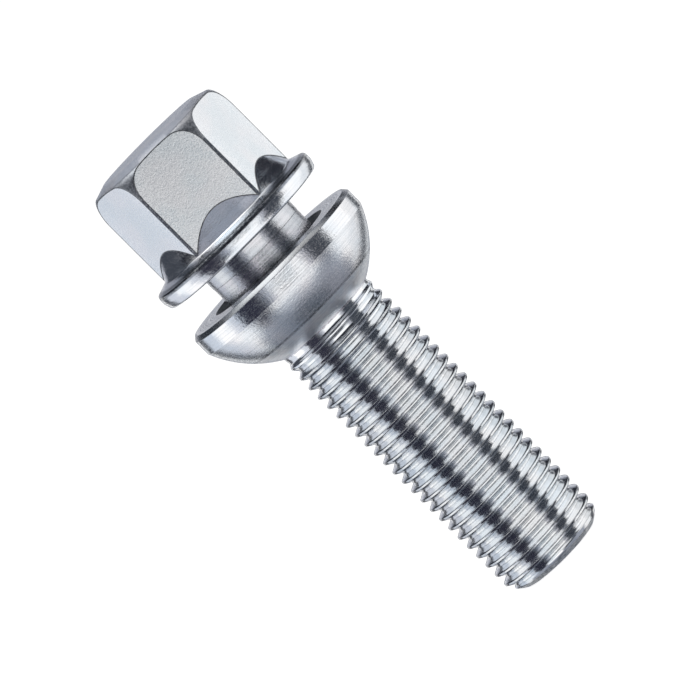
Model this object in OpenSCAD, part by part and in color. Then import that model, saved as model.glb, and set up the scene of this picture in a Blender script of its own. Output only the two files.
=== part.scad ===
// Wheel bolt with a loose ball-seat collar that is held captive on its neck.
// Millimetres. +Z runs along the bolt's axis towards the head, and the origin is the
// centre of the tip's end face, on which the bolt stands.

/* [Shank] */
// Length from the tip's end face to the underside of the flange
shank_len = 50.7; // [42:0.1:60]
// Diameter over the rolled thread's crests, for a 14 mm thread of 1.5 mm pitch
thread_d = 13.85; // [13.6:0.01:14]
// Diameter of the plain neck, which is the blank before the thread is rolled
neck_d = 13; // [12:0.01:13.08]
// Length of the plain neck from the thread to the flange
neck_len = 12.95; // [12.9:0.01:20]
// Diameter over the last, lowest crest of the thread
last_crest_d = 13.36; // [13.2:0.01:13.6]
// Length over which the crests drop to that diameter
crest_drop_len = 4.4; // [1:0.1:8]
// Length over which the thread runs out into the neck
runout_len = 0.75; // [0.3:0.05:1.5]
// Diameter of the thicker stretch of neck under the flange
neck_root_d = 13.1; // [13.08:0.01:13.14]
// Length of the thicker stretch of neck
neck_root_len = 1.9; // [1:0.1:4]
// Radius of the fillet between the neck and the flange
neck_fillet = 0.5; // [0.2:0.05:0.8]

/* [Tip] */
// Diameter of the flat end face that the bolt stands on
tip_face_d = 10.8; // [8:0.1:11.8]
// Diameter where the tip's blunt edge turns into the lead of the thread
tip_edge_d = 12.6; // [12:0.1:13]
// Height of the tip's blunt edge
tip_edge_h = 0.65; // [0.3:0.05:1]
// Height at which the thread reaches its full diameter
tip_lead_h = 1.7; // [1.2:0.1:4]

/* [Head] */
// Height of the head from the flange's underside to its end face
head_h = 15.2; // [13:0.1:18]
// Width across the flats of the hexagon
across_flats = 17; // [17:0.1:17.4]
// Width across the corners of the hexagon, where they are turned off
across_corners = 19.5; // [18.8:0.05:19.6]
// Diameter of the flat end face
head_face_d = 14; // [10:0.1:15]
// Slope of the conical rim round the end face, in degrees
head_rim_slope = 18.5; // [5:0.5:30]
// Outer diameter of that rim, where the rounded shoulder starts
head_rim_d = 17.7; // [17.4:0.05:18]
// Width of the rounded shoulder that tops the hexagon's corners
shoulder_w = 1.2; // [1.1:0.05:1.4]
// Height of the rounded shoulder
shoulder_h = 3.4; // [1.5:0.1:5]

/* [Flange] */
// Diameter of the flange
flange_d = 23.2; // [22:0.1:26]
// Diameter of the flange's narrower bottom edge
flange_foot_d = 22.8; // [21:0.1:23.1]
// Height of the taper at the bottom of the flange's rim
flange_taper_h = 0.95; // [0.6:0.05:1.3]
// Height of the flange's rim
flange_rim_h = 2; // [1.5:0.05:2.2]
// Height at which the flange's sloping top meets the conical base
base_foot_h = 2.56; // [2.4:0.01:3]
// Diameter where the flange's sloping top meets the conical base
base_foot_d = 19.7; // [19.6:0.1:20.5]
// Steepness of the conical base of the head, in degrees
base_slope = 63.7; // [50:0.1:70]
// Radius of the edge at the top of the flange's rim
flange_top_round = 0.15; // [0.05:0.01:0.2]
// Radius of the edge at the bottom of the flange's rim
flange_bottom_round = 0.35; // [0.1:0.01:0.4]
// Radius of the hollow between the flange and the conical base
base_fillet = 0.5; // [0.2:0.05:0.8]

/* [Ball collar] */
// Radius of the ball seat
seat_r = 13; // [12.8:0.1:14]
// Diameter of the straight band round the collar
collar_d = 24.2; // [23.4:0.1:25]
// Height of the collar
collar_h = 8.8; // [8:0.1:9]
// Height of the ball seat's centre above the collar's nose
seat_centre_h = 11.1; // [10.9:0.05:11.2]
// Diameter of the collar's bore, which passes the neck and not the thread
collar_bore_d = 13.2; // [13.16:0.01:13.3]
// Diameter of the countersink in the collar's flat face
countersink_d = 16.7; // [15:0.1:18]
// Diameter of the flat face inside its chamfer
collar_face_d = 23.2; // [20:0.1:23.2]
// Height of the chamfer round the flat face
collar_chamfer_h = 0.5; // [0.2:0.05:0.8]
// Gap between the collar's nose and the start of the thread's run-out
collar_rest_gap = 0.14; // [0.1:0.01:0.3]

/* [Hidden] */
$fn = 96;
arc_steps = 6;
shoulder_steps = 10;
overlap = 0.5;
zinc_steel = [0.76, 0.78, 0.81];
seat_zinc = [0.70, 0.72, 0.77];

head_top = shank_len + head_h;
rim_foot = head_top - (head_rim_d - head_face_d) / 2 * tan(head_rim_slope);
// Angle on the shoulder's ellipse at which the rim meets it
shoulder_start = acos(1 - (across_corners - head_rim_d) / (2 * shoulder_w));
shoulder_foot = rim_foot - shoulder_h * sin(shoulder_start);
neck_bottom = shank_len - neck_len;
thread_top = neck_bottom - runout_len;
neck_root_bottom = shank_len - neck_root_len;
collar_nose = neck_bottom + collar_rest_gap;
base_top_r = across_flats / 2 - overlap;
base_top_h = base_foot_h + (base_foot_d / 2 - base_top_r) * tan(base_slope);
countersink_depth = (countersink_d - collar_bore_d) / 2;

function unit(v) = v / norm(v);

// Points of the arc that rounds one corner of an outline
function corner_arc(before, corner, after, radius) =
    let (
        a = unit(before - corner),
        b = unit(after - corner),
        half_angle = acos(a * b) / 2,
        reach = radius / tan(half_angle),
        centre = corner + unit(a + b) * radius / sin(half_angle),
        first = corner + a * reach - centre,
        last = corner + b * reach - centre,
        sweep = atan2(first.x * last.y - first.y * last.x, first * last),
        start = atan2(first.y, first.x)
    )
    [for (i = [0 : arc_steps]) centre + radius * [
        cos(start + sweep * i / arc_steps),
        sin(start + sweep * i / arc_steps)
    ]];

function place(corner) = [corner[0], corner[1]];

// Closed outline through corners of the form [radius from the axis, height, rounding]
function outline(corners) = [
    for (i = [0 : len(corners) - 1])
        let (
            count = len(corners),
            corner = corners[i],
            before = place(corners[(i + count - 1) % count]),
            after = place(corners[(i + 1) % count])
        )
        each corner[2] == 0
            ? [place(corner)]
            : corner_arc(before, place(corner), after, corner[2])
];

// Rounded shoulder of the turned head: a quarter of an ellipse, from the top down
function shoulder_points() = [
    for (i = [0 : shoulder_steps])
        let (angle = shoulder_start * (1 - i / shoulder_steps))
        [
            across_corners / 2 - shoulder_w + shoulder_w * cos(angle),
            shoulder_foot + shoulder_h * sin(angle)
        ]
];

// Turned form that trims the hexagon's top and corners
module turned_head() {
    rotate_extrude()
        polygon(concat(
            [
                [0, shank_len + flange_taper_h],
                [0, head_top],
                [head_face_d / 2, head_top]
            ],
            shoulder_points(),
            [[across_corners / 2, shank_len + flange_taper_h]]
        ));
}

module hex_head() {
    intersection() {
        translate([0, 0, shank_len])
            cylinder(h = head_h + overlap, d = across_flats / cos(30), $fn = 6);
        turned_head();
    }
}

// Thin flange with a sloping top, and the cone that the hexagon's corners run into
module flange_and_base() {
    translate([0, 0, shank_len])
        rotate_extrude()
            polygon(outline([
                [0, 0, 0],
                [flange_foot_d / 2 - flange_bottom_round / 4, 0, flange_bottom_round],
                [flange_d / 2, flange_taper_h, 0],
                [flange_d / 2, flange_rim_h, flange_top_round],
                [base_foot_d / 2, base_foot_h, base_fillet],
                [base_top_r, base_top_h, 0],
                [0, base_top_h, 0]
            ]));
}

// Plain neck at the thread's pitch diameter, with its thicker root and fillet
module neck() {
    translate([0, 0, neck_bottom - overlap])
        cylinder(h = neck_len + 2 * overlap, d = neck_d);
    rotate_extrude()
        polygon(outline([
            [0, neck_root_bottom, 0],
            [neck_root_d / 2, neck_root_bottom, 0],
            [neck_root_d / 2, shank_len, neck_fillet],
            [neck_root_d / 2 + 2 * neck_fillet, shank_len, 0],
            [neck_root_d / 2 + 2 * neck_fillet, shank_len + overlap, 0],
            [0, shank_len + overlap, 0]
        ]));
}

// Shank over the crests of its thread, with the run-out above and the blunt tip below
module threaded_shank() {
    rotate_extrude()
        polygon([
            [0, 0],
            [tip_face_d / 2, 0],
            [tip_edge_d / 2, tip_edge_h],
            [thread_d / 2, tip_lead_h],
            [thread_d / 2, thread_top - crest_drop_len],
            [last_crest_d / 2, thread_top],
            [neck_d / 2, neck_bottom],
            [0, neck_bottom]
        ]);
}

// The bolt: one forging with its head, flange, neck and rolled shank
module bolt() {
    color(zinc_steel) {
        hex_head();
        flange_and_base();
        neck();
        threaded_shank();
    }
}

// Turned blank of the collar before its ball seat is cut
module collar_blank() {
    rotate_extrude()
        polygon([
            [0, 0],
            [collar_d / 2, 0],
            [collar_d / 2, collar_h - collar_chamfer_h],
            [collar_face_d / 2, collar_h],
            [0, collar_h]
        ]);
}

// The loose collar: a ball seat below, a straight band, and a flat face above
module ball_collar() {
    color(seat_zinc)
        translate([0, 0, collar_nose])
            difference() {
                intersection() {
                    collar_blank();
                    translate([0, 0, seat_centre_h])
                        sphere(r = seat_r);
                }
                translate([0, 0, -overlap])
                    cylinder(h = collar_h + 2 * overlap, d = collar_bore_d);
                translate([0, 0, collar_h - countersink_depth])
                    cylinder(
                        h = countersink_depth + overlap,
                        d1 = collar_bore_d,
                        d2 = countersink_d + 2 * overlap
                    );
            }
}

bolt();
ball_collar();
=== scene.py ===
"""Wheel bolt with a loose ball-seat collar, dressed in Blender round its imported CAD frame.

The bolt is one forging: a hexagon head with a turned end, a thin flange, a plain neck and a
rolled right-hand thread. The collar is a turned ring with a ball seat, held captive on the neck.
Sizes in the classes are millimetres, as in the part's source. The scene itself is in metres.
"""

import logging
import math
from collections.abc import Callable, Iterable, Iterator
from dataclasses import dataclass, field
from enum import Enum, IntEnum

import bmesh
import bpy
from bmesh.types import BMEdge, BMFace, BMesh, BMVert
from bpy.types import Material, Node, NodeSocket, NodeTree, Object, World
from mathutils import Matrix, Vector


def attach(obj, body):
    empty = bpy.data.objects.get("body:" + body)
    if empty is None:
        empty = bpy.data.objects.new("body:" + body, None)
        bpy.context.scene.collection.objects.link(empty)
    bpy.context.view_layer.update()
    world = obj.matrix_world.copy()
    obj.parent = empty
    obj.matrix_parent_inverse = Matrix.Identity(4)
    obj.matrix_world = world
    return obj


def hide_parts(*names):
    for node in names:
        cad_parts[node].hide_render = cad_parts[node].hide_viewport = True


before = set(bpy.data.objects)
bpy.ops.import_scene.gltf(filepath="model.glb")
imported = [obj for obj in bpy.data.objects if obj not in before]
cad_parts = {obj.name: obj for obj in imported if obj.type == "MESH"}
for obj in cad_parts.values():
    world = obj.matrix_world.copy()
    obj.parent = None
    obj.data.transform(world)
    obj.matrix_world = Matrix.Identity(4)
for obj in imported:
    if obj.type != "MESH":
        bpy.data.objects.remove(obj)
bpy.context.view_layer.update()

MM = 0.001
# Metres within which two points count as one
WELD = 2e-6
# Angles above which an edge is shaded sharp, within one finish and where two finishes meet
SHARP = math.radians(30)
SEAM = math.radians(8)
# Half of a hexagon's sixth, which is also how far the thread's flanks lean
HALF_SIXTH = math.radians(30)
# Steps of a turned form round its axis, and of a rounded corner in its outline
TURN_STEPS = 240
CORNER_STEPS = 4
# Steps of a studio card's height, and the least and the degrees to each across its width
CARD_RISE_STEPS = 12
CARD_LEAST_STEPS = 8
CARD_STEP_DEGREES = 5
# Degrees that the camera stands to the right of the front flat's middle
CAMERA_SWING = 1.5
LOG = logging.getLogger("wheel_bolt")

Grey = tuple[float, float, float]
Colour = tuple[float, float, float, float]
Sockets = dict[str, NodeSocket]


class Joining(Enum):
    """How one closed form is worked into another."""

    COMMON = "INTERSECT"
    WELDED = "UNION"


class Zone(IntEnum):
    """Surfaces of the bolt that are finished in their own way, in the order of its slots."""

    FORGED_FLAT = 0
    TURNED = 1
    ROLLED = 2
    SAWN_END = 3
    NECK = 4
    TIP_CONE = 5
    HEAD_END = 6
    FLAT_EDGE = 7
    FLANGE_TOP = 8
    NECK_ROOT = 9


class CollarZone(IntEnum):
    """Surfaces of the collar that are finished in their own way, in the order of its slots."""

    BAND = 0
    SEAT = 1
    FACE = 2
    BORE = 3
    CHAMFER = 4
    NOSE = 5


# Mesh making


class Lathe:
    """Half an outline drawn with wire edges in the XZ plane and turned about the Z axis."""

    def __init__(self) -> None:
        """Starts with an empty outline."""
        self.bm: BMesh = bmesh.new()
        self.tail: BMVert | None = None
        self.corners: list[tuple[BMVert, float]] = []

    def to(self, radius: float, height: float, rounding: float = 0.0) -> "Lathe":
        """Draws the outline on to a point.

        Args:
            radius: Distance from the axis, in millimetres.
            height: Height above the tip, in millimetres.
            rounding: Radius that this corner is rounded with, in millimetres.

        Returns:
            The lathe, so that calls can be chained.
        """
        vert = self.bm.verts.new((radius * MM, 0.0, height * MM))
        if self.tail is not None:
            self.bm.edges.new((self.tail, vert))
        self.tail = vert
        if rounding:
            self.corners.append((vert, rounding * MM))
        return self

    def through(self, *points: tuple[float, ...]) -> "Lathe":
        """Draws the outline through several points.

        Args:
            points: The radius and height of each, and its rounding if it has one.

        Returns:
            The lathe.
        """
        for point in points:
            self.to(*point)
        return self

    def sweep(
        self,
        centre: tuple[float, float],
        half_axes: tuple[float, float],
        angles: tuple[float, float],
        steps: int,
    ) -> "Lathe":
        """Draws a piece of an ellipse, from a higher angle down to a lower one.

        Args:
            centre: Radius and height of the ellipse's centre.
            half_axes: Half its width and half its height.
            angles: Angles above the horizontal where it starts and ends, in radians.
            steps: Number of edges.

        Returns:
            The lathe.
        """
        width, height = half_axes
        start, end = angles
        self.to(centre[0] + height * math.cos(start), centre[1] + height * math.sin(start))
        pivot = Vector((centre[0] * MM, 0.0, centre[1] * MM))
        first, before = self.tail, set(self.bm.verts)
        spun = bmesh.ops.spin(
            self.bm, geom=[first], cent=pivot, axis=(0, 1, 0), angle=start - end, steps=steps
        )
        swept = [first] + [v for v in self.bm.verts if v not in before]
        bmesh.ops.scale(
            self.bm, vec=(width / height, 1, 1), space=Matrix.Translation(-pivot), verts=swept
        )
        self.tail = next(g for g in spun["geom_last"] if isinstance(g, BMVert))
        return self

    def round_corners(self) -> None:
        """Rounds the corners that were drawn with a rounding."""
        for vert, rounding in self.corners:
            arms = [e.other_vert(vert).co - vert.co for e in vert.link_edges]
            half_angle = arms[0].angle(arms[1]) / 2
            bmesh.ops.bevel(
                self.bm, geom=[vert], offset=rounding / math.tan(half_angle),
                offset_type="OFFSET", affect="VERTICES", segments=CORNER_STEPS, profile=0.5,
                clamp_overlap=True, material=-1,
            )
        self.corners = []

    def turn(self) -> BMesh:
        """Turns the outline through a full circle.

        Returns:
            The turned surface, closed at the axis, with its faces outwards.
        """
        self.round_corners()
        bmesh.ops.spin(
            self.bm, geom=self.bm.verts[:] + self.bm.edges[:], axis=(0, 0, 1),
            angle=math.tau, steps=TURN_STEPS, use_merge=True,
        )
        bmesh.ops.remove_doubles(self.bm, verts=self.bm.verts[:], dist=WELD / 10)
        bmesh.ops.recalc_face_normals(self.bm, faces=self.bm.faces[:])
        return self.bm


def stand(name: str, bm: BMesh, materials: Iterable[Material] = ()) -> Object:
    """Makes a mesh into an object that stands in the scene at the origin.

    Args:
        name: The object's name, and its mesh's.
        bm: The mesh, which is freed.
        materials: Its materials, in the order of their slots.

    Returns:
        The object.
    """
    mesh = bpy.data.meshes.new(name)
    bm.to_mesh(mesh)
    bm.free()
    for material in materials:
        mesh.materials.append(material)
    made = bpy.data.objects.new(name, mesh)
    bpy.context.scene.collection.objects.link(made)
    return made


def work_together(base: BMesh, tool: BMesh, how: Joining) -> BMesh:
    """Works one closed form into another with exact cuts.

    Args:
        base: The form that is worked on. It is freed.
        tool: The form it is worked with. It is freed.
        how: Whether they are welded or only their common part is kept.

    Returns:
        The new form.
    """
    blank, cutter = stand("blank", base), stand("cutter", tool)
    cut = blank.modifiers.new("cut", "BOOLEAN")
    cut.operation = how.value
    cut.solver = "EXACT"
    cut.object = cutter
    bpy.context.view_layer.update()
    evaluated = blank.evaluated_get(bpy.context.evaluated_depsgraph_get())
    made = bmesh.new()
    made.from_mesh(evaluated.to_mesh())
    for helper in (blank, cutter):
        bpy.data.meshes.remove(helper.data)
    bmesh.ops.dissolve_degenerate(made, edges=made.edges[:], dist=WELD / 2)
    bmesh.ops.recalc_face_normals(made, faces=made.faces[:])
    return made


def radius_of(point: Vector) -> float:
    """Distance of a point from the bolt's axis, in millimetres."""
    return math.hypot(point.x, point.y) / MM


def soften_edges(bm: BMesh, edges: Iterable[BMEdge], width: float, segments: int = 2) -> None:
    """Breaks sharp edges with a narrow rounded bevel.

    Args:
        bm: The mesh that holds them.
        edges: The edges.
        width: Width of the bevel on each face, in millimetres.
        segments: Steps across the bevel.
    """
    bmesh.ops.bevel(
        bm, geom=list(edges), offset=width * MM, offset_type="OFFSET", affect="EDGES",
        segments=segments, profile=0.5, clamp_overlap=True, loop_slide=True, material=-1,
    )


def all_at(item: BMEdge | BMFace, height: float) -> bool:
    """True where every corner of an edge or a face lies at one height, in millimetres."""
    return all(abs(v.co.z - height * MM) < WELD for v in item.verts)


def open_edges(bm: BMesh, height: float) -> list[BMEdge]:
    """The edges round an opening at one height, in millimetres."""
    return [e for e in bm.edges if e.is_boundary and all_at(e, height)]


def finish_piece(name: str, bm: BMesh, materials: list[Material]) -> Object:
    """Makes a finished piece of a mesh that is already in its place.

    Args:
        name: The piece's name.
        bm: Its mesh, which is freed.
        materials: Its materials, in the order of their slots.

    Returns:
        The piece, standing at the origin, with its faces outwards and smooth between edges.
    """
    bmesh.ops.remove_doubles(bm, verts=bm.verts[:], dist=WELD / 4)
    bmesh.ops.recalc_face_normals(bm, faces=bm.faces[:])
    for face in bm.faces:
        face.smooth = True
    for edge in bm.edges:
        sides = edge.link_faces
        if len(sides) != 2:
            edge.smooth = False
            continue
        alike = sides[0].material_index == sides[1].material_index
        edge.smooth = edge.calc_face_angle(0.0) < (SHARP if alike else SEAM)
    piece = stand(name, bm, materials)
    weighted = piece.modifiers.new("even_shading", "WEIGHTED_NORMAL")
    weighted.keep_sharp = True
    weighted.weight = 50
    return piece


def report(piece: Object, body: str) -> None:
    """Logs what a piece came out as.

    Args:
        piece: The finished piece.
        body: The CAD body that it rides on.
    """
    triangles = sum(len(p.vertices) - 2 for p in piece.data.polygons)
    LOG.info("%s: %d triangles, rides on %s", piece.name, triangles, body)


# Node wiring


class Wiring:
    """Adds and links the nodes of one node tree."""

    def __init__(self, tree: NodeTree) -> None:
        """Takes the tree to wire."""
        self.tree = tree

    @classmethod
    def fresh(cls, owner: Material | World) -> "Wiring":
        """Gives a material or a world an empty node tree to wire.

        Args:
            owner: The material or the world.

        Returns:
            The wiring of its tree.
        """
        owner.use_nodes = True
        owner.node_tree.nodes.clear()
        return cls(owner.node_tree)

    def add(self, kind: str, settings: dict | None = None, **values: object) -> Node:
        """Adds a node.

        Args:
            kind: The node's type.
            settings: Properties to set on the node.
            values: Input sockets by name, with spaces as underscores: a number, a colour, or
                an output socket to link from.

        Returns:
            The node.
        """
        node = self.tree.nodes.new(kind)
        for key, value in (settings or {}).items():
            setattr(node, key, value)
        for key, value in values.items():
            self.put(node.inputs[key.replace("_", " ")], value)
        return node

    def put(self, socket: NodeSocket, value: object) -> None:
        """Sets an input socket, or links an output socket to it.

        Args:
            socket: The input socket.
            value: A number, a colour or an output socket.
        """
        if isinstance(value, NodeSocket):
            self.tree.links.new(value, socket)
        else:
            socket.default_value = value

    def sum_up(self, operation: str, *terms: object) -> NodeSocket:
        """Adds a Math node.

        Args:
            operation: What it works out.
            terms: Its inputs, numbers or output sockets.

        Returns:
            Its output socket.
        """
        node = self.add("ShaderNodeMath", {"operation": operation})
        for socket, term in zip(node.inputs, terms):
            self.put(socket, term)
        return node.outputs[0]

    def spread(
        self, value: object, low: float, high: float, to_low: object, to_high: object
    ) -> NodeSocket:
        """Maps a value smoothly from one range to another.

        Args:
            value: The value.
            low: Where its range starts.
            high: Where its range ends.
            to_low: What it gives at the start.
            to_high: What it gives at the end.

        Returns:
            The output socket.
        """
        node = self.add("ShaderNodeMapRange", {"interpolation_type": "SMOOTHSTEP"})
        names = ("Value", "From Min", "From Max", "To Min", "To Max")
        for name, term in zip(names, (value, low, high, to_low, to_high)):
            self.put(node.inputs[name], term)
        return node.outputs["Result"]

    def blend(self, factor: object, first: object, second: object) -> NodeSocket:
        """Mixes two colours.

        Args:
            factor: Share of the second one.
            first: A colour or an output socket.
            second: A colour or an output socket.

        Returns:
            The output socket.
        """
        node = self.add("ShaderNodeMix", {"data_type": "RGBA"})
        for index, term in ((0, factor), (6, first), (7, second)):
            self.put(node.inputs[index], term)
        return node.outputs[2]

    def axis_distances(self) -> tuple[NodeSocket, ...]:
        """Works out where a point of the surface lies on the part.

        Returns:
            The Object coordinates, the height above the tip and the distance from the axis.
        """
        place = self.add("ShaderNodeTexCoord").outputs["Object"]
        parts = self.add("ShaderNodeSeparateXYZ", Vector=place)
        across = self.sum_up("POWER", parts.outputs["X"], 2.0)
        deep = self.sum_up("POWER", parts.outputs["Y"], 2.0)
        flat = self.sum_up("SQRT", self.sum_up("ADD", across, deep))
        return place, parts.outputs["Z"], flat


def effect_group(
    name: str,
    inputs: dict[str, float | Colour],
    outputs: dict[str, str],
    wire: Callable[[Wiring, Sockets], Sockets],
) -> NodeTree:
    """Builds a shared effect as a node group.

    Args:
        name: The group's name.
        inputs: Its inputs and their values, numbers or colours.
        outputs: Its outputs and their socket types.
        wire: Wires the group's inside and returns what each output is linked from.

    Returns:
        The group.
    """
    tree = bpy.data.node_groups.new(name, "ShaderNodeTree")
    for label, value in inputs.items():
        kind = "NodeSocketColor" if isinstance(value, tuple) else "NodeSocketFloat"
        socket = tree.interface.new_socket(label, in_out="INPUT", socket_type=kind)
        socket.default_value = value
    for label, kind in outputs.items():
        tree.interface.new_socket(label, in_out="OUTPUT", socket_type=kind)
    entry = tree.nodes.new("NodeGroupInput")
    leave = tree.nodes.new("NodeGroupOutput")
    made = wire(Wiring(tree), {label: entry.outputs[label] for label in inputs})
    for label, socket in made.items():
        tree.links.new(socket, leave.inputs[label])
    return tree


class SurfaceEffects:
    """The effects that the finishes share, each built once."""

    def __init__(self) -> None:
        """Builds the node groups."""
        marks = {"Height": "NodeSocketFloat", "Mask": "NodeSocketFloat"}
        self.crystals = effect_group(
            "zinc_crystals", {"Size": 0.0003}, marks, self._wire_crystals
        )
        self.rings = effect_group("turning_rings", {"Pitch": 0.0002}, marks, self._wire_rings)
        self.tint = effect_group(
            "zinc_tint",
            {"Patch Size": 0.004, "Cool": (0.7, 0.75, 0.8, 1.0), "Warm": (0.8, 0.76, 0.76, 1.0)},
            {"Colour": "NodeSocketColor"},
            self._wire_tint,
        )

    @staticmethod
    def _wire_crystals(wiring: Wiring, inputs: Sockets) -> Sockets:
        """Makes the plated zinc's fine grain of a coarse and a fine noise.

        Args:
            wiring: The group's inside.
            inputs: The grain's size.

        Returns:
            Its height and its mask.
        """
        place, _, _ = wiring.axis_distances()
        scale = wiring.sum_up("DIVIDE", 1.0, inputs["Size"])
        finer = wiring.sum_up("MULTIPLY", scale, 2.3)
        coarse = wiring.add(
            "ShaderNodeTexNoise", Vector=place, Scale=scale, Detail=1.5, Roughness=0.6
        ).outputs["Fac"]
        fine = wiring.add("ShaderNodeTexNoise", Vector=place, Scale=finer, Detail=1.0)
        height = wiring.sum_up("MULTIPLY_ADD", fine.outputs["Fac"], 0.45, coarse)
        return {"Height": height, "Mask": wiring.spread(coarse, 0.4, 0.62, 0.0, 1.0)}

    @staticmethod
    def _wire_rings(wiring: Wiring, inputs: Sockets) -> Sockets:
        """Makes a turning tool's or a thread roll's marks, round the axis and broken up.

        Args:
            wiring: The group's inside.
            inputs: The marks' pitch.

        Returns:
            Their height and their mask.
        """
        place, height, flat = wiring.axis_distances()
        along = wiring.sum_up("DIVIDE", wiring.sum_up("ADD", height, flat), inputs["Pitch"])
        lines = wiring.add(
            "ShaderNodeTexNoise", {"noise_dimensions": "1D"},
            W=along, Scale=1.0, Detail=2.0, Roughness=0.65,
        ).outputs["Fac"]
        breaks = wiring.add("ShaderNodeTexNoise", Vector=place, Scale=260.0, Detail=2.0)
        share = wiring.spread(breaks.outputs["Fac"], 0.35, 0.62, 0.35, 1.0)
        ridge = wiring.sum_up("MULTIPLY", lines, share)
        return {"Height": ridge, "Mask": wiring.spread(lines, 0.42, 0.6, 0.0, 1.0)}

    @staticmethod
    def _wire_tint(wiring: Wiring, inputs: Sockets) -> Sockets:
        """Makes the passivated zinc's slow shift between a cool and a warm grey.

        Args:
            wiring: The group's inside.
            inputs: The patches' size and the two greys.

        Returns:
            The colour.
        """
        place, _, _ = wiring.axis_distances()
        scale = wiring.sum_up("DIVIDE", 1.0, inputs["Patch Size"])
        cloud = wiring.add("ShaderNodeTexNoise", Vector=place, Scale=scale, Detail=3.0)
        share = wiring.spread(cloud.outputs["Fac"], 0.36, 0.66, 0.0, 1.0)
        return {"Colour": wiring.blend(share, inputs["Cool"], inputs["Warm"])}


# Colours of the light flecks and of the painted shade in the dark rings, how dark a tool mark's
# line is, the flecks' share near the axis and what is left of that painted shade where the grain
# breaks it
FLECK_COLOUR: Colour = (0.95, 0.96, 0.97, 1.0)
PAINTED_SHADE_COLOUR: Colour = (0.10, 0.11, 0.12, 1.0)
LINE_SHADE = 0.72
INNER_FLECKS = 0.3
BROKEN_PAINTED_SHADE = 0.55


@dataclass(frozen=True)
class ZincFinish:
    """Bright zinc plating on steel, as it comes out over one kind of worked surface.

    Depths are bump heights and sizes are lengths on the part, all in millimetres. A painted dark
    ring is painted shade: a darker ring of colour that stands for a dark reflection in the
    metal, or for the shade in the thread's roots. It is given by its radius from the axis, its
    reach to each side and its strength. Bright and dull are the least and greatest roughness,
    and the light flecks grow to their full share between two radii from the axis.
    full share between two radii from the axis.
    """

    name: str
    cool: Grey
    warm: Grey
    dull: float = 0.30
    bright: float = 0.18
    patch: float = 4.0
    grain_size: float = 0.24
    grain_depth: float = 0.006
    ring_pitch: float = 0.3
    ring_depth: float = 0.006
    ring_shade: float = 0.10
    ring_polish: float = 0.5
    fleck: float = 0.10
    fleck_rise: tuple[float, float] = (0.0, 0.001)
    painted_dark_rings: tuple[tuple[float, float, float], ...] = ()

    def colour(self, wiring: Wiring, effects: SurfaceEffects, marks: Sockets) -> NodeSocket:
        """Wires the finish's colour.

        Args:
            wiring: The material's wiring.
            effects: The shared effects.
            marks: The masks of the grain and of the rings.

        Returns:
            The colour's output socket.
        """
        tint = wiring.add(
            "ShaderNodeGroup", {"node_tree": effects.tint},
            Patch_Size=self.patch * MM, Cool=(*self.cool, 1.0), Warm=(*self.warm, 1.0),
        )
        colour = wiring.blend(
            wiring.sum_up("MULTIPLY", marks["rings"], self.ring_shade),
            tint.outputs["Colour"],
            (*(LINE_SHADE * c for c in self.cool), 1.0),
        )
        _, _, flat = wiring.axis_distances()
        middle, edge = (radius * MM for radius in self.fleck_rise)
        flecks = wiring.spread(flat, middle, edge, self.fleck * INNER_FLECKS, self.fleck)
        shown = wiring.sum_up("MULTIPLY", marks["grain"], flecks)
        colour = wiring.blend(shown, colour, FLECK_COLOUR)
        # Painted shade: each dark ring darkens the colour towards near black round one radius
        for radius, reach, shade in self.painted_dark_rings:
            away = wiring.sum_up("ABSOLUTE", wiring.sum_up("SUBTRACT", flat, radius * MM))
            broken = wiring.spread(marks["grain"], 0.0, 1.0, shade, shade * BROKEN_PAINTED_SHADE)
            depth = wiring.spread(away, 0.0, reach * MM, broken, 0.0)
            colour = wiring.blend(depth, colour, PAINTED_SHADE_COLOUR)
        return colour

    def material(self, effects: SurfaceEffects) -> Material:
        """Builds the finish.

        Args:
            effects: The shared effects.

        Returns:
            The material.
        """
        made = bpy.data.materials.new(self.name)
        wiring = Wiring.fresh(made)
        crystals = wiring.add(
            "ShaderNodeGroup", {"node_tree": effects.crystals}, Size=self.grain_size * MM
        ).outputs
        rings = wiring.add(
            "ShaderNodeGroup", {"node_tree": effects.rings}, Pitch=self.ring_pitch * MM
        ).outputs
        marks = {"grain": crystals["Mask"], "rings": rings["Mask"]}
        half_dull = (self.dull + self.bright) / 2
        rough = wiring.sum_up(
            "MULTIPLY_ADD",
            rings["Mask"],
            (self.dull - self.bright) * self.ring_polish,
            wiring.spread(crystals["Mask"], 0.0, 1.0, self.bright, half_dull),
        )
        grain = wiring.add(
            "ShaderNodeBump",
            Strength=1.0, Distance=self.grain_depth * MM, Height=crystals["Height"],
        )
        turned = wiring.add(
            "ShaderNodeBump", Strength=1.0, Distance=self.ring_depth * MM,
            Height=rings["Height"], Normal=grain.outputs["Normal"],
        )
        steel = wiring.add(
            "ShaderNodeBsdfPrincipled", Base_Color=self.colour(wiring, effects, marks),
            Metallic=1.0, Roughness=rough, Normal=turned.outputs["Normal"],
        )
        wiring.add("ShaderNodeOutputMaterial", Surface=steel.outputs["BSDF"])
        return made


# The bolt


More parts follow.
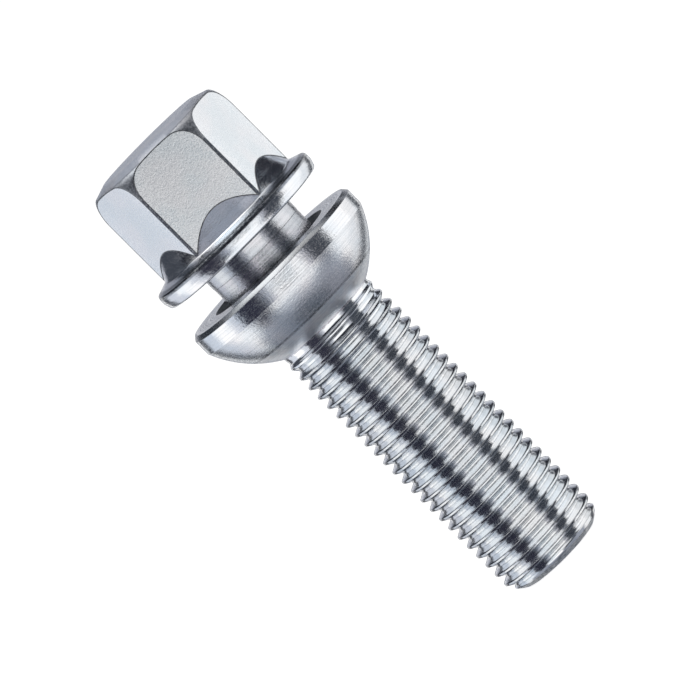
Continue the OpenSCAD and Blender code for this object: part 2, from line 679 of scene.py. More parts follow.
@dataclass
class HexHead:
    """Forged hexagon head: flats trimmed by a turned end with a rounded shoulder.

    The rim ring is the narrow last part of the conical rim, and the spare heights are what the
    blank and the turned form stand over the head's ends before they are worked together.
    Edges over the edge angle are broken, and a flat's faces lean by less than the flat lean.
    """

    top: float = 65.9
    bottom: float = 51.65
    across_flats: float = 17.0
    across_corners: float = 19.5
    corner_width: float = 0.24
    face_radius: float = 7.0
    face_rounding: float = 0.12
    rim_radius: float = 8.85
    rim_slope: float = 18.5
    rim_ring: float = 0.1
    shoulder_width: float = 1.2
    shoulder_height: float = 3.4
    shoulder_steps: int = 20
    spare_top: float = 1.0
    spare_bottom: float = 0.2
    edge_width: float = 0.06
    edge_angle: float = 9.0
    flat_lean: float = 0.01

    def prism(self) -> BMesh:
        """Makes the hexagon's blank, with its long edges cut off.

        Returns:
            The blank, higher than the head.
        """
        bm = bmesh.new()
        height = (self.top + self.spare_top - self.bottom) * MM
        middle = Matrix.Translation((0, 0, self.bottom * MM + height / 2))
        corner = self.across_flats / 2 / math.cos(HALF_SIXTH) * MM
        bmesh.ops.create_cone(
            bm, cap_ends=True, segments=6, radius1=corner, radius2=corner, depth=height,
            matrix=middle @ Matrix.Rotation(HALF_SIXTH, 4, "Z"),
        )
        upright = [e for e in bm.edges if abs(e.verts[0].co.z - e.verts[1].co.z) > MM]
        soften_edges(bm, upright, self.corner_width / 2 / math.cos(HALF_SIXTH), segments=1)
        return bm

    def turned_form(self) -> BMesh:
        """Makes the turned form that trims the hexagon's end and corners.

        Returns:
            The closed form, lower than the head.
        """
        steepness = math.tan(math.radians(self.rim_slope))
        rim_drop = (self.rim_radius - self.face_radius) * steepness
        corner_radius = self.across_corners / 2
        start = math.acos(1 - (corner_radius - self.rim_radius) / self.shoulder_width)
        centre = (
            corner_radius - self.shoulder_width,
            self.top - rim_drop - self.shoulder_height * math.sin(start),
        )
        half_axes = (self.shoulder_width, self.shoulder_height)
        ring_height = self.top - rim_drop + self.rim_ring * steepness
        foot = self.bottom - self.spare_bottom
        lathe = Lathe().through(
            (0, self.top),
            (self.face_radius, self.top, self.face_rounding),
            (self.rim_radius - self.rim_ring, ring_height),
        )
        lathe.sweep(centre, half_axes, (start, 0.0), self.shoulder_steps)
        return lathe.through((corner_radius, foot), (0, foot)).turn()

    def build(self) -> BMesh:
        """Builds the head.

        Returns:
            The trimmed hexagon with its edges broken, closed at its bottom.
        """
        head = work_together(self.prism(), self.turned_form(), Joining.COMMON)
        flat_distance = self.across_flats / 2 * MM

        def is_flat(face: BMFace) -> bool:
            """True for a face that lies on one of the hexagon's six planes."""
            reach = face.normal.dot(face.calc_center_median())
            return abs(face.normal.z) < self.flat_lean and abs(reach - flat_distance) < 2 * WELD

        rims = [
            e
            for e in head.edges
            if len(e.link_faces) == 2
            and is_flat(e.link_faces[0]) != is_flat(e.link_faces[1])
            and e.calc_face_angle() > math.radians(self.edge_angle)
            and min(v.co.z for v in e.verts) > self.bottom * MM + WELD
        ]
        soften_edges(head, rims, self.edge_width)
        return head


@dataclass
class FlangeAndNeck:
    """Thin flange, the cone under the hexagon, and the plain neck with its thicker root."""

    foot: float = 50.7
    neck_bottom: float = 37.79
    neck_radius: float = 6.5
    root_bottom: float = 48.83
    root_radius: float = 6.55
    root_step: float = 0.05
    root_rounding: float = 0.03
    neck_fillet: float = 0.5
    rim_foot_radius: float = 11.31
    rim_foot_rounding: float = 0.35
    rim_radius: float = 11.6
    rim_rounding: float = 0.3
    taper_height: float = 0.95
    taper_rounding: float = 0.5
    rim_height: float = 2.0
    rim_edge_rounding: float = 0.05
    rim_break_width: float = 0.15
    rim_break_height: float = 0.16
    rim_break_rounding: float = 0.12
    rim_lean: float = 0.05
    rim_lean_height: float = 1.55
    base_foot_height: float = 2.56
    base_foot_radius: float = 9.85
    base_slope: float = 63.7
    base_top_radius: float = 8.0
    base_fillet: float = 0.5

    def build(self) -> BMesh:
        """Builds the flange and the neck.

        Returns:
            The turned form, closed at its top and at the neck's lower end.
        """
        steepness = math.tan(math.radians(self.base_slope))
        base_rise = (self.base_foot_radius - self.base_top_radius) * steepness
        foot, rim = self.foot, self.rim_radius
        top = foot + self.base_foot_height + base_rise
        broken = foot + self.rim_height - self.rim_break_height
        lathe = Lathe().through(
            (0, top),
            (self.base_top_radius, top),
            (self.base_foot_radius, foot + self.base_foot_height, self.base_fillet),
            (rim - self.rim_break_width, foot + self.rim_height, self.rim_edge_rounding),
            (rim - self.rim_lean, broken, self.rim_break_rounding),
            (rim, foot + self.rim_lean_height, self.rim_rounding),
            (rim, foot + self.taper_height, self.taper_rounding),
            (self.rim_foot_radius, foot, self.rim_foot_rounding),
            (self.root_radius, foot, self.neck_fillet),
            (self.root_radius, self.root_bottom, self.root_rounding),
            (self.neck_radius, self.root_bottom - self.root_step),
            (self.neck_radius, self.neck_bottom),
            (0, self.neck_bottom),
        )
        return lathe.turn()


@dataclass
class RolledThread:
    """Right-hand rolled thread with its run-out into the neck and its blunt tip.

    The tip is given by heights and the radius that they leave, and each fade by heights and
    the share of the full thread's depth that is left there.
    """

    crest_radius: float = 6.925
    root_radius: float = 6.07
    pitch: float = 1.5
    crest_flat: float = 0.26
    crest_rounding: float = 0.14
    root_rounding: float = 0.06
    flank_length: float = 0.4
    flank_cuts: int = 3
    first_crest: float = -1.97
    turns: int = 28
    steps: int = 96
    pitch_radius: float = 6.5
    top: float = 37.75
    tip: tuple[tuple[float, float], ...] = ((0.0, 5.4), (0.65, 6.3), (1.7, 6.925))
    tip_softness: float = 0.03
    crest_fade: tuple[tuple[float, float], ...] = (
        (32.6, 1.0), (34.0, 0.82), (35.5, 0.7), (37.0, 0.42), (37.6, 0.0),
    )
    root_fade: tuple[tuple[float, float], ...] = (
        (34.4, 1.0), (35.4, 0.75), (36.2, 0.44), (37.1, 0.16), (37.6, 0.0),
    )

    @staticmethod
    def along(steps: tuple[tuple[float, float], ...], height: float) -> float:
        """Reads a value off a list, straight between its heights.

        Args:
            steps: Heights and values, from the lowest up.
            height: The height to read at.

        Returns:
            The value.
        """
        if height <= steps[0][0]:
            return steps[0][1]
        for (low, first), (high, second) in zip(steps, steps[1:]):
            if height <= high:
                return first + (second - first) * (height - low) / (high - low)
        return steps[-1][1]

    def groove(self) -> Lathe:
        """Draws the outline of one pitch, from the middle of one root to the next.

        Returns:
            The lathe that holds it, with its flanks cut into short edges.
        """
        crest, root = self.crest_radius, self.root_radius
        flank = (crest - root) * math.tan(HALF_SIXTH)
        half_crest = self.crest_flat / 2
        lathe = Lathe().through(
            (root, self.first_crest - self.pitch / 2),
            (root, self.first_crest - half_crest - flank, self.root_rounding),
            (crest, self.first_crest - half_crest, self.crest_rounding),
            (crest, self.first_crest + half_crest, self.crest_rounding),
            (root, self.first_crest + half_crest + flank, self.root_rounding),
            (root, self.first_crest + self.pitch / 2),
        )
        lathe.round_corners()
        flanks = [e for e in lathe.bm.edges if e.calc_length() > self.flank_length * MM]
        bmesh.ops.subdivide_edges(lathe.bm, edges=flanks, cuts=self.flank_cuts)
        return lathe

    def formed_radius(self, radius: float, height: float) -> float:
        """Radius of a point once the run-out and the tip have been formed.

        Args:
            radius: Its radius on the full thread, in millimetres.
            height: Its height above the tip.

        Returns:
            Its new radius.
        """
        fade = self.crest_fade if radius > self.pitch_radius else self.root_fade
        formed = self.pitch_radius + (radius - self.pitch_radius) * self.along(fade, height)
        limit = self.along(self.tip, height)
        soft = self.tip_softness
        if formed > limit - soft:
            over = min(formed - (limit - soft), 2 * soft)
            formed = limit - soft + over - over * over / (4 * soft)
        return min(formed, limit)

    def build(self) -> BMesh:
        """Builds the threaded shank.

        Returns:
            The shank with a flat end at its tip, open at the neck's lower end.
        """
        bm = self.groove().bm
        bmesh.ops.spin(
            bm, geom=bm.verts[:] + bm.edges[:], axis=(0, 0, 1), angle=math.tau,
            dvec=(0, 0, self.pitch * MM / self.steps), steps=self.steps,
        )
        turn = bm.verts[:] + bm.edges[:] + bm.faces[:]
        for count in range(1, self.turns):
            copy = bmesh.ops.duplicate(bm, geom=turn)["geom"]
            moved = [g for g in copy if isinstance(g, BMVert)]
            bmesh.ops.translate(bm, verts=moved, vec=(0, 0, count * self.pitch * MM))
        bmesh.ops.remove_doubles(bm, verts=bm.verts[:], dist=WELD)
        for height, below in ((0.0, True), (self.top, False)):
            bmesh.ops.bisect_plane(
                bm, geom=bm.verts[:] + bm.edges[:] + bm.faces[:], dist=WELD / 20,
                plane_co=(0, 0, height * MM), plane_no=(0, 0, 1),
                clear_inner=below, clear_outer=not below,
            )
        for vert in bm.verts:
            radius = radius_of(vert.co)
            share = self.formed_radius(radius, vert.co.z / MM) / radius
            vert.co.x *= share
            vert.co.y *= share
        bmesh.ops.remove_doubles(bm, verts=bm.verts[:], dist=WELD / 2)
        bmesh.ops.holes_fill(bm, edges=open_edges(bm, 0.0), sides=0)
        return bm


BOLT_FINISHES: dict[Zone, ZincFinish] = {
    Zone.FORGED_FLAT: ZincFinish(
        "forged_flats", cool=(0.74, 0.775, 0.80), warm=(0.80, 0.80, 0.815),
        dull=0.38, bright=0.20, grain_size=0.20, ring_depth=0.0, ring_shade=0.0,
        ring_polish=0.0, fleck=0.7, fleck_rise=(8.5, 9.6),
    ),
    Zone.TURNED: ZincFinish(
        "turned_steel", cool=(0.70, 0.745, 0.79), warm=(0.81, 0.81, 0.825),
        dull=0.25, bright=0.12, grain_depth=0.010, ring_pitch=0.35, ring_depth=0.005,
    ),
    # The rolled thread's dark rings are painted shade: a faint one in the roots, where shade
    # falls, and a stronger one round each crest's corners, for the dark reflections there
    Zone.ROLLED: ZincFinish(
        "rolled_thread", cool=(0.80, 0.835, 0.865), warm=(0.87, 0.87, 0.875),
        dull=0.20, bright=0.10, grain_depth=0.0032, ring_pitch=0.12, ring_depth=0.0012,
        ring_shade=0.25, painted_dark_rings=((6.07, 0.03, 0.2), (6.85, 0.12, 0.62)),
    ),
    Zone.SAWN_END: ZincFinish(
        "sawn_tip_face", cool=(0.50, 0.52, 0.55), warm=(0.62, 0.61, 0.60),
        dull=0.5, bright=0.35, grain_size=0.2, grain_depth=0.010, ring_depth=0.008,
    ),
    Zone.NECK: ZincFinish(
        "drawn_neck", cool=(0.50, 0.52, 0.555), warm=(0.61, 0.59, 0.63),
        dull=0.34, bright=0.20, patch=2.5, grain_size=0.26, grain_depth=0.014,
        ring_depth=0.003, fleck=0.2,
    ),
    Zone.TIP_CONE: ZincFinish(
        "blunt_tip", cool=(0.34, 0.36, 0.38), warm=(0.66, 0.66, 0.65),
        dull=0.42, bright=0.26, patch=1.1, grain_size=0.36, grain_depth=0.026, fleck=0.4,
    ),
    # The turned end's dark rings are painted shade, for the dark reflections round its shoulder
    # above the flats
    Zone.HEAD_END: ZincFinish(
        "turned_head_end", cool=(0.66, 0.69, 0.735), warm=(0.75, 0.75, 0.77),
        dull=0.48, bright=0.36, grain_size=0.22, ring_pitch=0.35, ring_depth=0.004,
        painted_dark_rings=((9.5, 0.65, 0.75), (8.8, 0.45, 0.5)),
    ),
    # The band round each flat is painted near black: painted shade for the dark reflections
    # along the flats' rounded edges and corners
    Zone.FLAT_EDGE: ZincFinish(
        "painted_shade_flat_edge", cool=(0.06, 0.066, 0.076), warm=(0.13, 0.135, 0.145),
        dull=0.45, bright=0.30, patch=0.8, grain_size=0.2, grain_depth=0.008,
        ring_pitch=0.2, ring_depth=0.0, ring_shade=0.0,
    ),
    # The flange's top is painted darker than the turned steel, and its dark rings darken it to
    # near black towards the rim: painted shade for the dark reflections there
    Zone.FLANGE_TOP: ZincFinish(
        "turned_flange_top", cool=(0.58, 0.62, 0.66), warm=(0.68, 0.68, 0.70),
        dull=0.25, bright=0.14, grain_depth=0.010, ring_pitch=0.35, ring_depth=0.005,
        painted_dark_rings=((11.15, 0.55, 1.3), (11.5, 0.12, 1.2)),
    ),
    Zone.NECK_ROOT: ZincFinish(
        "turned_neck_root", cool=(0.56, 0.585, 0.62), warm=(0.66, 0.655, 0.68),
        grain_size=0.26, grain_depth=0.012, ring_pitch=0.35, ring_depth=0.005,
    ),
}


@dataclass
class WheelBolt:
    """The bolt: head, flange, neck and thread as one forging.

    The last five sizes tell its surfaces apart: where the turned end starts, how much lower
    the thread's finish ends than the thread, how far a flat's faces may lie from its plane
    and lean, and how far the flange's top reaches up the hollow over it.
    """

    head: HexHead = field(default_factory=HexHead)
    flange: FlangeAndNeck = field(default_factory=FlangeAndNeck)
    thread: RolledThread = field(default_factory=RolledThread)
    # Width of the band of painted shade round each flat
    painted_shade_band: float = 0.13
    end_height: float = 61.95
    thread_margin: float = 0.05
    flat_offset: float = 0.03
    flat_lean: float = 0.15
    hollow_height: float = 0.1

    def zone_of(self, face: BMFace) -> Zone:
        """Says which of the bolt's surfaces a face belongs to.

        Args:
            face: The face.

        Returns:
            Its zone.
        """
        centre = face.calc_center_median()
        height = centre.z / MM
        if all_at(face, 0.0):
            return Zone.SAWN_END
        for limit, zone in (
            (self.thread.tip[1][0], Zone.TIP_CONE),
            (self.thread.top - self.thread_margin, Zone.ROLLED),
            (self.flange.root_bottom, Zone.NECK),
            (self.flange.foot, Zone.NECK_ROOT),
        ):
            if height < limit:
                return zone
        from_axis = face.normal.dot(centre) / MM
        on_flat = abs(from_axis - self.head.across_flats / 2) < self.flat_offset
        if on_flat and abs(face.normal.z) < self.flat_lean and height > self.head.bottom:
            return Zone.FORGED_FLAT
        flange_top = self.flange.base_foot_height + self.hollow_height
        above_rim = self.flange.rim_lean_height < height - self.flange.foot < flange_top
        if above_rim and radius_of(centre) > self.flange.base_foot_radius:
            return Zone.FLANGE_TOP
        return Zone.HEAD_END if height > self.end_height else Zone.TURNED

    def build(self, effects: SurfaceEffects) -> Object:
        """Builds and dresses the bolt.

        Args:
            effects: The shared surface effects.

        Returns:
            The finished piece.
        """
        bm = work_together(self.head.build(), self.flange.build(), Joining.WELDED)
        cap = [f for f in bm.faces if all_at(f, self.flange.neck_bottom)]
        bmesh.ops.delete(bm, geom=cap, context="FACES")
        shank = self.thread.build()
        scratch = bpy.data.meshes.new("shank")
        shank.to_mesh(scratch)
        shank.free()
        opening = open_edges(bm, self.flange.neck_bottom)
        bm.from_mesh(scratch)
        bpy.data.meshes.remove(scratch)
        bmesh.ops.bridge_loops(bm, edges=opening + open_edges(bm, self.thread.top))
        bmesh.ops.recalc_face_normals(bm, faces=bm.faces[:])
        for face in bm.faces:
            face.material_index = int(self.zone_of(face))
        # A narrow band round each flat's edge takes the near black finish: painted shade for the
        # dark reflections along its edges
        flats = [f for f in bm.faces if f.material_index == Zone.FORGED_FLAT]
        rings = bmesh.ops.inset_region(
            bm, faces=flats, thickness=self.painted_shade_band * MM,
            use_boundary=True, use_even_offset=True,
        )
        for face in rings["faces"]:
            face.material_index = int(Zone.FLAT_EDGE)
        materials = [BOLT_FINISHES[zone].material(effects) for zone in Zone]
        return finish_piece("forged_bolt", bm, materials)


# The collar


COLLAR_FINISHES: dict[CollarZone, ZincFinish] = {
    CollarZone.BAND: ZincFinish(
        "turned_band", cool=(0.71, 0.755, 0.80), warm=(0.85, 0.835, 0.84),
        dull=0.26, bright=0.13, patch=5.0, grain_size=0.28, grain_depth=0.012,
        ring_depth=0.007, ring_shade=0.16,
    ),
    # The ball seat's dark rings are painted shade, for dark reflected lines across it
    CollarZone.SEAT: ZincFinish(
        "turned_ball_seat", cool=(0.67, 0.715, 0.76), warm=(0.80, 0.785, 0.79),
        patch=5.0, grain_size=0.28, grain_depth=0.016, ring_depth=0.007, ring_shade=0.28,
        painted_dark_rings=((9.35, 0.20, 0.75), (9.8, 0.06, 0.4)),
    ),
    # The flat face's dark rings are painted shade: one along its outer edge and two further in,
    # for dark reflected lines
    CollarZone.FACE: ZincFinish(
        "faced_collar_top", cool=(0.74, 0.765, 0.785), warm=(0.88, 0.875, 0.87),
        dull=0.32, bright=0.20, patch=5.0, grain_size=0.22, grain_depth=0.004,
        ring_pitch=0.6, ring_depth=0.016, ring_shade=0.95,
        painted_dark_rings=((11.5, 0.12, 0.7), (10.3, 0.12, 0.45), (9.2, 0.08, 0.35)),
    ),
    # The bore and its countersink are painted near black: painted shade inside the hole
    CollarZone.BORE: ZincFinish(
        "painted_shade_bore", cool=(0.12, 0.125, 0.13), warm=(0.20, 0.205, 0.21),
        dull=0.55, bright=0.40, grain_size=0.3, grain_depth=0.012,
    ),
    # The chamfer is painted about half as light as the band beside it: painted shade for its
    # darker reflection
    CollarZone.CHAMFER: ZincFinish(
        "turned_chamfer_painted_shade", cool=(0.38, 0.40, 0.42), warm=(0.46, 0.46, 0.465),
        patch=5.0, grain_depth=0.008,
    ),
    CollarZone.NOSE: ZincFinish(
        "dull_seat_nose", cool=(0.80, 0.84, 0.88), warm=(0.90, 0.90, 0.91),
        dull=0.42, bright=0.28, patch=1.6, grain_size=0.28, grain_depth=0.020,
        ring_depth=0.014, ring_shade=0.35,
    ),
}


@dataclass
class BallCollar:
    """Loose turned ring: a ball seat below, a straight band, and a flat face above.

    The last three sizes are the least rises of a face's normal on the flat face, on the
    chamfer and on the band.
    """

    nose: float = 37.89
    height: float = 8.8
    seat_radius: float = 13.0
    seat_steps: int = 36
    centre_height: float = 11.1
    band_radius: float = 12.1
    band_rounding: float = 0.1
    face_radius: float = 11.67
    face_rounding: float = 0.08
    chamfer_height: float = 0.5
    bore_radius: float = 6.6
    bore_rounding: float = 0.1
    sink_radius: float = 8.35
    sink_rounding: float = 0.06
    nose_rounding: float = 0.12
    nose_top: float = 39.7
    face_rise: float = 0.9
    chamfer_rise: float = 0.4
    band_rise: float = -0.05

    def zone_of(self, face: BMFace) -> CollarZone:
        """Says which of the collar's surfaces a face belongs to.

        Args:
            face: The face.

        Returns:
            Its zone.
        """
        centre = face.calc_center_median()
        outward = face.normal.x * centre.x + face.normal.y * centre.y
        if outward < 0.0 and face.normal.z < self.face_rise:
            return CollarZone.BORE
        for rise, zone in (
            (self.face_rise, CollarZone.FACE),
            (self.chamfer_rise, CollarZone.CHAMFER),
            (self.band_rise, CollarZone.BAND),
        ):
            if face.normal.z > rise:
                return zone
        return CollarZone.NOSE if centre.z / MM < self.nose_top else CollarZone.SEAT

    def build(self, effects: SurfaceEffects) -> Object:
        """Builds and dresses the collar.

        Args:
            effects: The shared surface effects.

        Returns:
            The finished piece.
        """
        top = self.nose + self.height
        band_angle = -math.acos(self.band_radius / self.seat_radius)
        nose_angle = -math.asin(self.centre_height / self.seat_radius)
        sink_foot = top - (self.sink_radius - self.bore_radius)
        lathe = Lathe().through(
            (self.bore_radius, self.nose, self.nose_rounding),
            (self.bore_radius, sink_foot, self.bore_rounding),
            (self.sink_radius, top, self.sink_rounding),
            (self.face_radius, top, self.face_rounding),
            (self.band_radius, top - self.chamfer_height, self.band_rounding),
        )
        lathe.sweep(
            (0.0, self.nose + self.centre_height),
            (self.seat_radius, self.seat_radius),
            (band_angle, nose_angle),
            self.seat_steps,
        )
        lathe.bm.edges.new([v for v in lathe.bm.verts if len(v.link_edges) == 1])
        bm = lathe.turn()
        for face in bm.faces:
            face.material_index = int(self.zone_of(face))
        materials = [COLLAR_FINISHES[zone].material(effects) for zone in CollarZone]
        return finish_piece("ball_seat_collar", bm, materials)


# The studio


class Tone(Enum):
    """How bright a studio card looks in the metal."""

    BLACK = (0.025, 0.027, 0.036)
    BLUE_BLACK = (0.035, 0.036, 0.055)
    SOOT = (0.06, 0.068, 0.085)
    DIM = (0.10, 0.105, 0.12)
    NADIR = (0.105, 0.118, 0.145)
    SHADE = (0.26, 0.28, 0.33)
    SLATE = (0.36, 0.38, 0.44)
    MIST = (0.55, 0.56, 0.62)
    GREY = (0.36, 0.38, 0.405)
    PALE = (0.76, 0.80, 0.88)
    WHITE = (0.98, 1.0, 1.02)
    GLOW = (1.25, 1.25, 1.25)


@dataclass(frozen=True)
class StudioCard:
    """A curved card or soft panel of the studio, seen only as a reflection in the metal.

    Azimuth 0 is where the camera stands, 90 is to its right behind the bolt's right side, and
    elevation is above the horizon, all in degrees from the bolt's middle. The distance from
    there is in metres, and a nearer card hides a farther one.
    """

    name: str
    azimuths: tuple[float, float]
    elevations: tuple[float, float]
    tone: Tone
    distance: float

    def build(self, centre: Vector, material: Material) -> Object:
        """Builds the card as a piece of a sphere round the bolt.

        Args:
            centre: The bolt's middle.
            material: Its material.

        Returns:
            The card.
        """
        bm = bmesh.new()
        low, high = (math.radians(e) for e in self.elevations)
        left, right = self.azimuths
        top = (self.distance * math.cos(high), 0.0, self.distance * math.sin(high))
        bmesh.ops.spin(
            bm, geom=[bm.verts.new(top)], axis=(0, 1, 0), angle=high - low,
            steps=CARD_RISE_STEPS,
        )
        bmesh.ops.spin(
            bm, geom=bm.verts[:] + bm.edges[:], axis=(0, 0, 1),
            angle=math.radians(right - left),
            steps=max(CARD_LEAST_STEPS, int((right - left) / CARD_STEP_DEGREES)),
        )
        bearing = Matrix.Rotation(math.radians(left + CAMERA_SWING - 90), 4, "Z")
        place = Matrix.Translation(centre) @ bearing
        bmesh.ops.transform(bm, matrix=place, verts=bm.verts[:])
        card = stand(self.name, bm, [material])
        for rays in ("camera", "diffuse", "shadow", "transmission"):
            setattr(card, "visible_" + rays, False)
        return card


# Each card's fields: first those that stand alone, then the right-hand ones of mirrored pairs
CARDS = (
    ("panel_left", (-112, -60), (-50, 9), Tone.GLOW, 1.50),
    ("panel_right", (62, 112), (-50, 9), Tone.GLOW, 1.50),
    ("panel_rear_left", (-142, -112), (-42, 9), Tone.PALE, 1.50),
    ("panel_rear_right", (112, 142), (-42, 9), Tone.WHITE, 1.50),
    ("panel_front", (-62, 64), (-54, -4), Tone.GLOW, 1.52),
    ("panel_top", (-180, 180), (62, 90), Tone.GLOW, 1.54),
    ("panel_rear_top", (150, 210), (52, 64), Tone.MIST, 1.53),
    ("card_camera", (-14, 14), (-4.2, 5), Tone.GREY, 1.46),
    ("card_front_high", (-104, 104), (5, 42), Tone.BLACK, 1.44),
    ("card_front_top", (-78, 78), (42, 62), Tone.SLATE, 1.44),
    ("card_front_right", (33, 62), (43, 52), Tone.MIST, 1.43),
    ("strip_high_right", (142, 149), (7, 30), Tone.PALE, 1.43),
    ("card_top_left", (-78, -38), (54, 66), Tone.BLACK, 1.43),
    ("card_top_right", (40, 78), (54, 66), Tone.DIM, 1.43),
    ("card_rear_left", (-164, -104), (7, 46), Tone.SOOT, 1.44),
    ("card_rear_right", (104, 164), (7, 46), Tone.BLACK, 1.44),
    ("card_rear_top", (104, 256), (46, 52), Tone.SLATE, 1.45),
    ("card_back", (164, 196), (12, 46), Tone.SLATE, 1.44),
    ("card_back_low", (152, 208), (4.5, 12), Tone.MIST, 1.43),
    ("strip_left_outer", (-83, -68), (-42, 5), Tone.PALE, 1.42),
    ("strip_left", (-68, -37), (-42, 42), Tone.BLUE_BLACK, 1.40),
    ("strip_left_soft", (-37, -31), (-42, 42), Tone.DIM, 1.40),
    ("strip_left_faint", (-31, -26), (-42, 5), Tone.SHADE, 1.42),
    ("strip_left_edge", (-26, -19), (-42, 5), Tone.MIST, 1.42),
    ("strip_right", (36, 68), (-42, 42), Tone.SOOT, 1.40),
    ("strip_right_soft", (28, 36), (-42, 5), Tone.MIST, 1.42),
    ("strip_left_low", (-76, -42), (-53, -42), Tone.BLUE_BLACK, 1.40),
    ("strip_right_low", (50, 79), (-53, -42), Tone.SHADE, 1.40),
    ("strip_back", (165, 195), (-40, 1.5), Tone.SHADE, 1.40),
    ("card_low_rim", (-42, 42), (-66, -56), Tone.MIST, 1.39),
    ("card_low_rear", (104, 256), (-83, -48), Tone.SHADE, 1.375),
    ("card_low_front", (-104, 104), (-74, -66), Tone.SHADE, 1.385),
    ("card_low", (-180, 180), (-90, -72), Tone.NADIR, 1.38),
)
MIRRORED_CARDS = (
    ("panel_low", (70, 104), (4, 26), Tone.PALE, 1.43),
    ("card_rear_side", (104, 130), (52, 60), Tone.SLATE, 1.45),
    ("strip_rear", (138, 156), (-60, 3), Tone.DIM, 1.40),
    ("card_low", (42, 104), (-62, -49), Tone.SLATE, 1.41),
    ("card_lower", (42, 104), (-67, -61), Tone.SHADE, 1.39),
    ("card_low_rear", (136, 160), (-64, -41), Tone.DIM, 1.37),
)


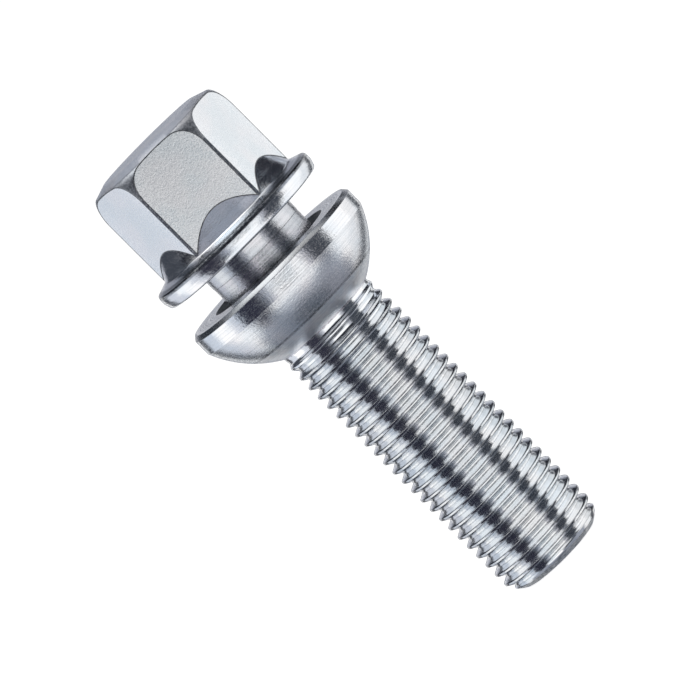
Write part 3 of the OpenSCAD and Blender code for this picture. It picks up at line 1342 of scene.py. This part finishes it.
@dataclass
class Studio:
    """White floor and surround, soft panels and dark cards, and one soft overhead lamp.

    Its places and sizes are metres, except for the floor's drop below the tip.
    """

    centre: Vector = field(default_factory=lambda: Vector((0.0, 0.0, 0.035)))
    floor_size: float = 40.0
    floor_drop: float = 0.02
    floor_glow: float = 0.80
    room_light: float = 0.32
    lamp_place: tuple[float, float, float] = (-0.15, -0.12, 0.95)
    lamp_size: float = 0.6
    lamp_power: float = 1.3

    @staticmethod
    def cards() -> Iterator[StudioCard]:
        """Sets up the cards.

        Yields:
            Every card, the mirrored ones on both sides.
        """
        for row in CARDS:
            yield StudioCard(*row)
        for name, (near, far), *rest in MIRRORED_CARDS:
            yield StudioCard(name + "_left", (-far, -near), *rest)
            yield StudioCard(name + "_right", (near, far), *rest)

    @staticmethod
    def seen_directly(wiring: Wiring) -> NodeSocket:
        """Masks what the camera, a mirror or glass looks at.

        Args:
            wiring: The wiring of a material or the world.

        Returns:
            The mask's output socket.
        """
        path = wiring.add("ShaderNodeLightPath").outputs
        mirrored = wiring.sum_up("MAXIMUM", path["Is Glossy Ray"], path["Is Transmission Ray"])
        return wiring.sum_up("MAXIMUM", path["Is Camera Ray"], mirrored)

    def floor(self) -> Object:
        """Builds the white floor, which keeps the bolt's shadow.

        Returns:
            The floor.
        """
        bm = bmesh.new()
        drop = Matrix.Translation((0, 0, -self.floor_drop * MM))
        half = self.floor_size / 2
        bmesh.ops.create_grid(bm, x_segments=8, y_segments=8, size=half, matrix=drop)
        paint = bpy.data.materials.new("floor_white")
        wiring = Wiring.fresh(paint)
        glow = wiring.sum_up("MULTIPLY", self.seen_directly(wiring), self.floor_glow)
        both = wiring.add("ShaderNodeAddShader")
        for socket, part in (
            (both.inputs[0], wiring.add("ShaderNodeBsdfDiffuse", Color=(0.8, 0.8, 0.8, 1.0))),
            (both.inputs[1], wiring.add("ShaderNodeEmission", Strength=glow)),
        ):
            wiring.put(socket, part.outputs[0])
        wiring.add("ShaderNodeOutputMaterial", Surface=both.outputs[0])
        paint.cycles.emission_sampling = "NONE"
        floor = stand("studio_floor", bm, [paint])
        floor.visible_glossy = False
        return floor

    def surround(self) -> None:
        """Makes the world white to the camera and the metal, and soft light for the floor."""
        world = bpy.data.worlds.new("studio_surround")
        wiring = Wiring.fresh(world)
        light = wiring.spread(self.seen_directly(wiring), 0.0, 1.0, self.room_light, 1.0)
        sky = wiring.add("ShaderNodeBackground", Color=(1.0, 1.0, 1.0, 1.0), Strength=light)
        wiring.add("ShaderNodeOutputWorld", Surface=sky.outputs[0])
        world.cycles.sampling_method = "NONE"
        bpy.context.scene.world = world

    def lamp(self) -> None:
        """Hangs one soft square lamp over the bolt, which gives the floor its shadow."""
        data = bpy.data.lights.new("overhead_softbox", "AREA")
        data.shape = "SQUARE"
        data.size = self.lamp_size
        data.energy = self.lamp_power
        lamp = bpy.data.objects.new("overhead_softbox", data)
        lamp.location = self.lamp_place
        downwards = self.centre - Vector(self.lamp_place)
        lamp.rotation_euler = downwards.to_track_quat("-Z", "Y").to_euler()
        bpy.context.scene.collection.objects.link(lamp)

    @staticmethod
    def card_material(tone: Tone) -> Material:
        """Makes the plain glow or darkness of the cards of one tone.

        Args:
            tone: The tone.

        Returns:
            The material.
        """
        paint = bpy.data.materials.new("card_" + tone.name.lower())
        wiring = Wiring.fresh(paint)
        glow = wiring.add("ShaderNodeEmission", Color=(*tone.value, 1.0), Strength=1.0)
        wiring.add("ShaderNodeOutputMaterial", Surface=glow.outputs[0])
        paint.cycles.emission_sampling = "NONE"
        return paint

    def build(self) -> None:
        """Sets the whole studio up."""
        self.floor()
        self.surround()
        self.lamp()
        paints = {tone: self.card_material(tone) for tone in Tone}
        for card in self.cards():
            card.build(self.centre, paints[card.tone])


@dataclass
class ProductCamera:
    """The photograph's viewpoint: in front of the bolt's middle and a little above it."""

    aim: tuple[float, float, float] = (-0.48, 0.0, 33.2)
    distance: float = 626.0
    elevation: float = 6.15
    roll: float = 45.0
    lens: float = 286.0
    sensor: float = 36.0

    def build(self) -> Object:
        """Builds the camera.

        Returns:
            The camera, rolled so that the bolt's head points to the picture's upper left.
        """
        data = bpy.data.cameras.new("product_camera")
        data.lens = self.lens
        data.sensor_width = self.sensor
        data.clip_start = 0.05
        data.clip_end = 100.0
        camera = bpy.data.objects.new("product_camera", data)
        tilt = math.radians(self.elevation)
        back = Vector((0.0, -math.cos(tilt), math.sin(tilt)))
        right = Vector((1, 0, 0))
        level = Matrix((right, back.cross(right), back)).transposed()
        turn = level.to_4x4() @ Matrix.Rotation(math.radians(-self.roll), 4, "Z")
        place = Vector(self.aim) * MM + back * self.distance * MM
        swing = Matrix.Rotation(math.radians(CAMERA_SWING), 4, "Z")
        camera.matrix_world = swing @ Matrix.Translation(place) @ turn
        bpy.context.scene.collection.objects.link(camera)
        bpy.context.scene.camera = camera
        return camera


def main() -> None:
    """Builds the camera, the studio and the two pieces."""
    logging.basicConfig(level=logging.INFO, format="%(name)s: %(message)s")
    bpy.context.scene.view_settings.view_transform = "Standard"
    ProductCamera().build()
    Studio().build()
    effects = SurfaceEffects()
    for piece, body, node, slot in (
        (WheelBolt().build(effects), "bolt_body", "bolt", "bolt_zinc"),
        (BallCollar().build(effects), "collar_body", "ball_collar", "collar_zinc"),
    ):
        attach(piece, body)
        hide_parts(node)
        report(piece, body)
    bpy.context.view_layer.update()


if __name__ == "__main__":
    main()
